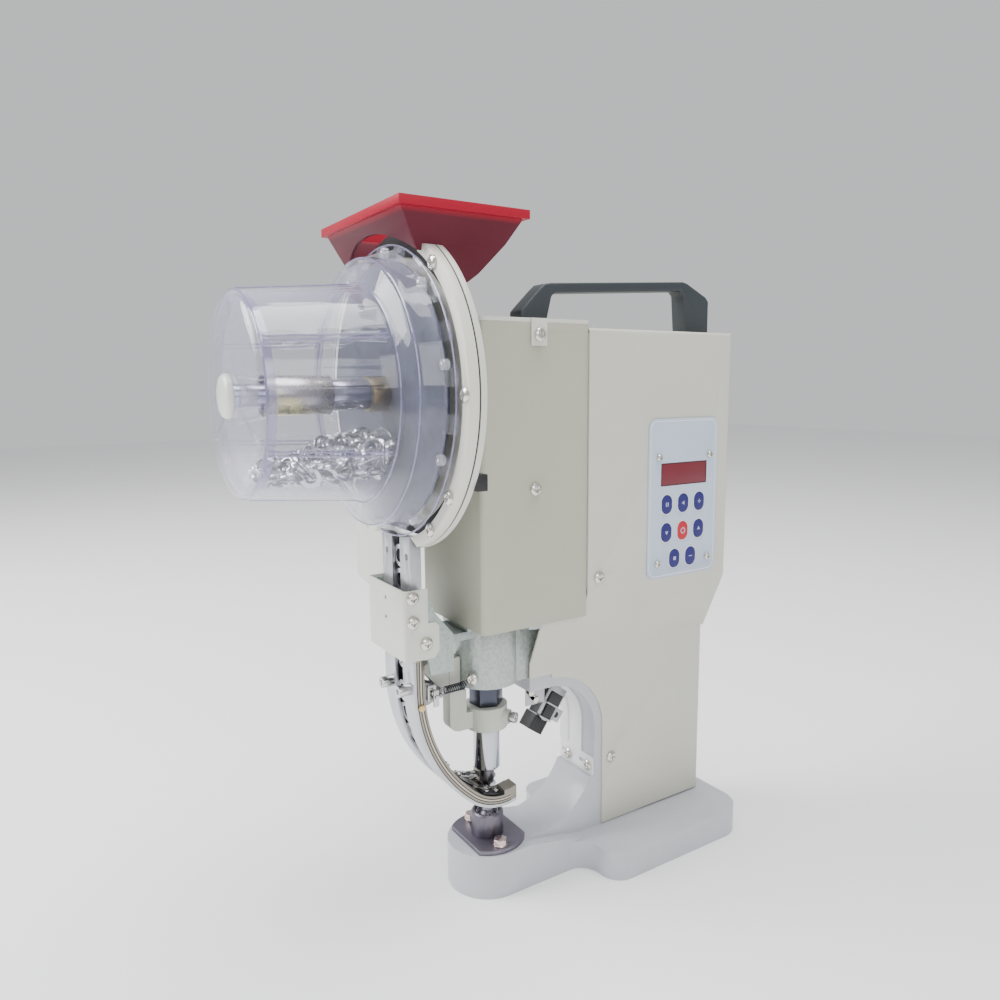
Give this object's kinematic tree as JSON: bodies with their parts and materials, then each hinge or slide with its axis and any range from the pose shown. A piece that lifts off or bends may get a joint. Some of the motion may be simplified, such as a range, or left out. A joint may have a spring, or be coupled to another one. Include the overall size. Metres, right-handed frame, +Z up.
{
  "type": "eyelet machine",
  "caption": "Bench eyelet machine with a turning clear hopper, a curved feed chute that swings under the ram, a cam-driven punch and a keypad on the side cover.",
  "frame": {"origin": "on the punch axis at the underside of the base", "axes": "+X to the operator's right, towards the keypad side; +Y to the rear; +Z up along the punch axis"},
  "size_m": [0.2276, 0.4362, 0.531],
  "materials": {
    "base_casting": "satin",
    "press_head": "satin",
    "rear_cover": "satin",
    "head_cover": "satin",
    "top_plate": "satin",
    "carry_handle": "matt",
    "control_panel": "gloss",
    "display_window": "gloss",
    "control_board": "matt",
    "pan_screws": "polished",
    "ring_right": "satin",
    "ring_left": "satin",
    "ring_gasket": "matt",
    "hopper_back_plate": "satin",
    "hopper_sensor": "matt",
    "loose_eyelets": "satin",
    "hopper_motor": "satin",
    "fill_funnel": "gloss",
    "upper_chute": "satin",
    "chute_guard": "satin",
    "chute_bracket": "satin",
    "guide_nut": "satin",
    "die_plate": "satin",
    "die_bolts": "polished",
    "lower_die": "satin",
    "lamp_strip": "satin",
    "lamp_bracket": "satin",
    "lamp_lead": "matt",
    "lamp_body": "matt",
    "drive_motor": "satin",
    "power_inlet": "matt",
    "tension_spring": "satin",
    "return_spring": "satin",
    "hopper_drum": "clear",
    "feed_disc": "matt",
    "drum_shaft": "polished",
    "shaft_sleeve": "satin",
    "shaft_collar": "satin",
    "drum_cap": "gloss",
    "ram_spindle": "satin",
    "punch_holder": "polished",
    "ram_arm": "satin",
    "clamp_screw": "polished",
    "punch": "satin",
    "cam_roller": "satin",
    "cam_shaft": "satin",
    "chute_body": "satin",
    "chute_strips": "satin",
    "chute_screws": "polished",
    "chute_gate": "satin",
    "chute_lever": "satin",
    "chute_eyelets": "satin",
    "key_1": "gloss",
    "key_2": "gloss",
    "key_3": "gloss",
    "key_4": "gloss",
    "key_5": "gloss",
    "key_6": "gloss",
    "key_7": "gloss",
    "key_8": "gloss"
  },
  "bodies": {
    "frame": {"base_casting": "base_casting", "press_head": "press_head", "rear_cover": "rear_cover", "head_cover": "head_cover", "top_plate": "top_plate", "carry_handle": "carry_handle", "control_panel": "control_panel", "display_window": "display_window", "control_board": "control_board", "pan_screws": "pan_screws", "ring_right": "ring_right", "ring_left": "ring_left", "ring_gasket": "ring_gasket", "hopper_back_plate": "hopper_back_plate", "hopper_sensor": "hopper_sensor", "loose_eyelets": "loose_eyelets", "hopper_motor": "hopper_motor", "fill_funnel": "fill_funnel", "upper_chute": "upper_chute", "chute_guard": "chute_guard", "chute_bracket": "chute_bracket", "guide_nut": "guide_nut", "die_plate": "die_plate", "die_bolts": "die_bolts", "lower_die": "lower_die", "lamp_strip": "lamp_strip", "lamp_bracket": "lamp_bracket", "drive_motor": "drive_motor", "power_inlet": "power_inlet", "tension_spring": "tension_spring"},
    "drum": {"hopper_drum": "hopper_drum", "feed_disc": "feed_disc", "drum_shaft": "drum_shaft", "shaft_sleeve": "shaft_sleeve", "shaft_collar": "shaft_collar", "drum_cap": "drum_cap"},
    "camshaft": {"cam_shaft": "cam_shaft"},
    "ram": {"ram_spindle": "ram_spindle", "punch_holder": "punch_holder", "ram_arm": "ram_arm", "clamp_screw": "clamp_screw", "punch": "punch", "cam_roller": "cam_roller", "return_spring": "return_spring"},
    "chute": {"chute_body": "chute_body", "chute_strips": "chute_strips", "chute_screws": "chute_screws", "chute_gate": "chute_gate", "chute_lever": "chute_lever", "chute_eyelets": "chute_eyelets"},
    "lamp": {"lamp_body": "lamp_body", "lamp_lead": "lamp_lead"},
    "key_1_button": {"key_1": "key_1"},
    "key_2_button": {"key_2": "key_2"},
    "key_3_button": {"key_3": "key_3"},
    "key_4_button": {"key_4": "key_4"},
    "key_5_button": {"key_5": "key_5"},
    "key_6_button": {"key_6": "key_6"},
    "key_7_button": {"key_7": "key_7"},
    "key_8_button": {"key_8": "key_8"}
  },
  "joints": [
    {"name": "drum_spin", "type": "hinge", "parent": "frame", "child": "drum", "pos_m": [0, -0.1, 0.407], "axis": [0, 1, 0], "continuous": true},
    {"name": "cam_turn", "type": "hinge", "parent": "frame", "child": "camshaft", "pos_m": [0, 0, 0.3], "axis": [0, 1, 0], "range_deg": [0, 170]},
    {"name": "ram_slide", "type": "slide", "parent": "frame", "child": "ram", "axis": [0, 0, -1], "range_m": [0, 0.02], "deforming": ["return_spring"]},
    {"name": "chute_swing", "type": "hinge", "parent": "frame", "child": "chute", "pos_m": [0, -0.072, 0.243], "axis": [-1, 0, 0], "range_deg": [0, 12]},
    {"name": "lamp_tilt", "type": "hinge", "parent": "frame", "child": "lamp", "pos_m": [0, 0.056, 0.137], "axis": [1, 0, 0], "range_deg": [-8, 8]},
    {"name": "key_1_press", "type": "slide", "parent": "frame", "child": "key_1_button", "axis": [-1, 0, 0], "range_m": [0, 0.0005], "stiffness_N_per_m": 300},
    {"name": "key_2_press", "type": "slide", "parent": "frame", "child": "key_2_button", "axis": [-1, 0, 0], "range_m": [0, 0.0005], "stiffness_N_per_m": 300},
    {"name": "key_3_press", "type": "slide", "parent": "frame", "child": "key_3_button", "axis": [-1, 0, 0], "range_m": [0, 0.0005], "stiffness_N_per_m": 300},
    {"name": "key_4_press", "type": "slide", "parent": "frame", "child": "key_4_button", "axis": [-1, 0, 0], "range_m": [0, 0.0005], "stiffness_N_per_m": 300},
    {"name": "key_5_press", "type": "slide", "parent": "frame", "child": "key_5_button", "axis": [-1, 0, 0], "range_m": [0, 0.0005], "stiffness_N_per_m": 300},
    {"name": "key_6_press", "type": "slide", "parent": "frame", "child": "key_6_button", "axis": [-1, 0, 0], "range_m": [0, 0.0005], "stiffness_N_per_m": 300},
    {"name": "key_7_press", "type": "slide", "parent": "frame", "child": "key_7_button", "axis": [-1, 0, 0], "range_m": [0, 0.0005], "stiffness_N_per_m": 300},
    {"name": "key_8_press", "type": "slide", "parent": "frame", "child": "key_8_button", "axis": [-1, 0, 0], "range_m": [0, 0.0005], "stiffness_N_per_m": 300}
  ],
  "couplings": [
    {"joint": "ram_slide", "follows": "cam_turn", "m_per_rad": 0.0067406},
    {"joint": "chute_swing", "follows": "cam_turn", "ratio": 0.070588}
  ]
}
